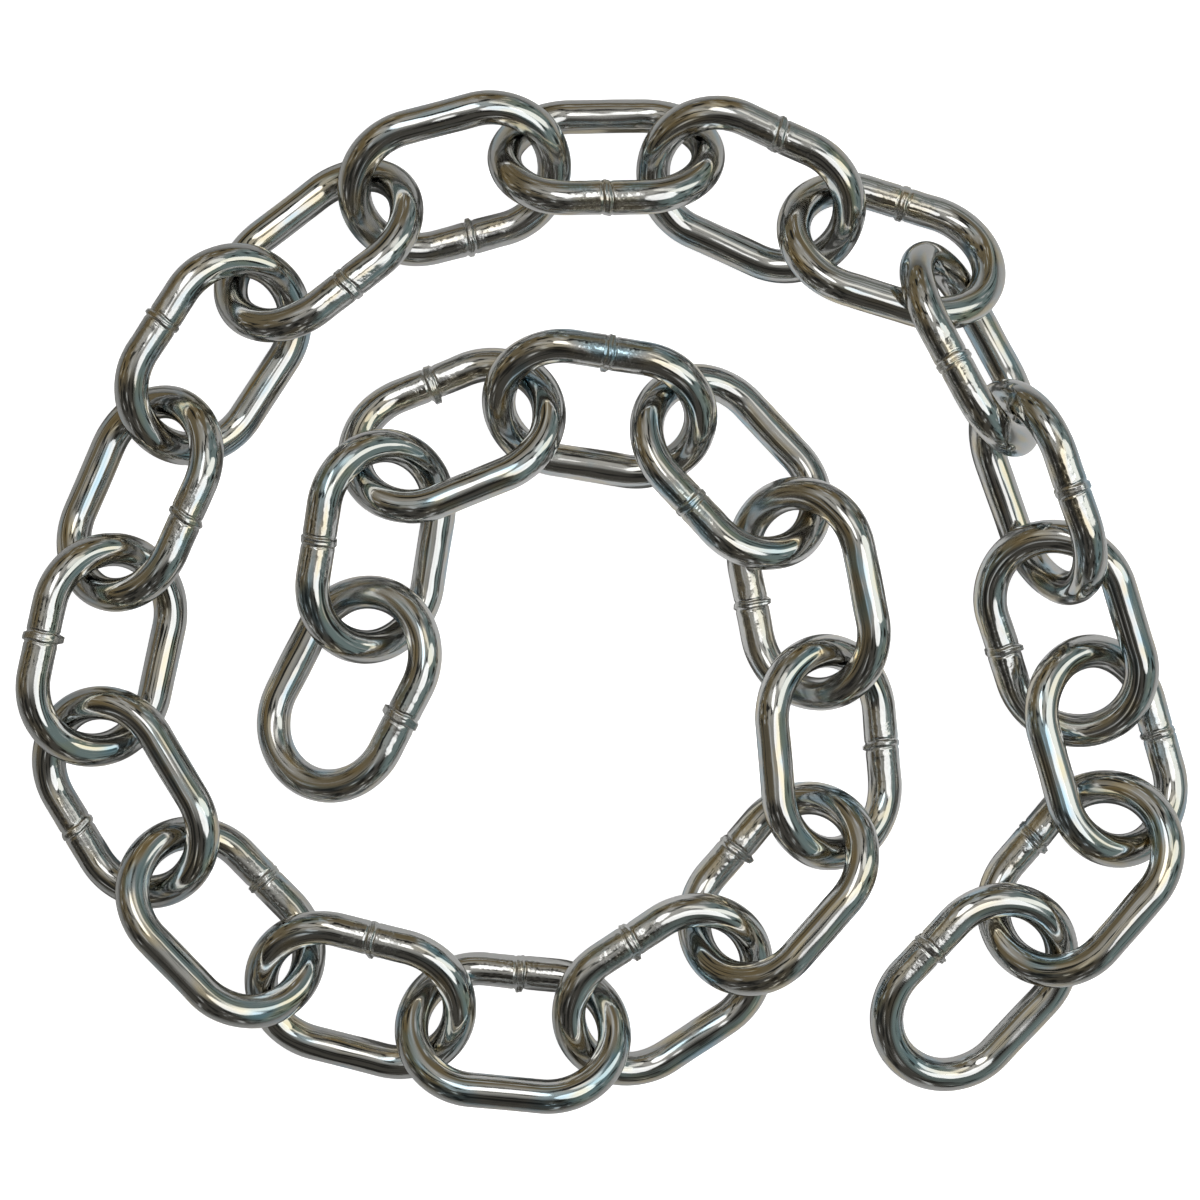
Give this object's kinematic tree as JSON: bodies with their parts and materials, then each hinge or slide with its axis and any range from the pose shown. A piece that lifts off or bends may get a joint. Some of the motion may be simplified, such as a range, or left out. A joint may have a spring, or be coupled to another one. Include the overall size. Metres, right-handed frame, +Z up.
{
  "type": "length of welded steel chain",
  "caption": "Length of bright zinc-plated steel chain with welded oval links of round wire, lying on the floor in an open spiral.",
  "frame": {"origin": "middle of the chain's box, on the floor under it", "axes": "+Z up from the floor, +X to the right and +Y up the picture when seen from straight above"},
  "size_m": [0.219, 0.1898, 0.0308],
  "materials": {
    "zinc_plate": "bright electroplated zinc"
  },
  "bodies": {
    "root": {"link_01": "zinc_plate", "link_02": "zinc_plate", "link_03": "zinc_plate", "link_04": "zinc_plate", "link_05": "zinc_plate", "link_06": "zinc_plate", "link_07": "zinc_plate", "link_08": "zinc_plate", "link_09": "zinc_plate", "link_10": "zinc_plate", "link_11": "zinc_plate", "link_12": "zinc_plate", "link_13": "zinc_plate", "link_14": "zinc_plate", "link_15": "zinc_plate", "link_16": "zinc_plate", "link_17": "zinc_plate", "link_18": "zinc_plate", "link_19": "zinc_plate", "link_20": "zinc_plate", "link_21": "zinc_plate", "link_22": "zinc_plate", "link_23": "zinc_plate", "link_24": "zinc_plate", "link_25": "zinc_plate", "link_26": "zinc_plate", "link_27": "zinc_plate"}
  },
  "joints": []
}
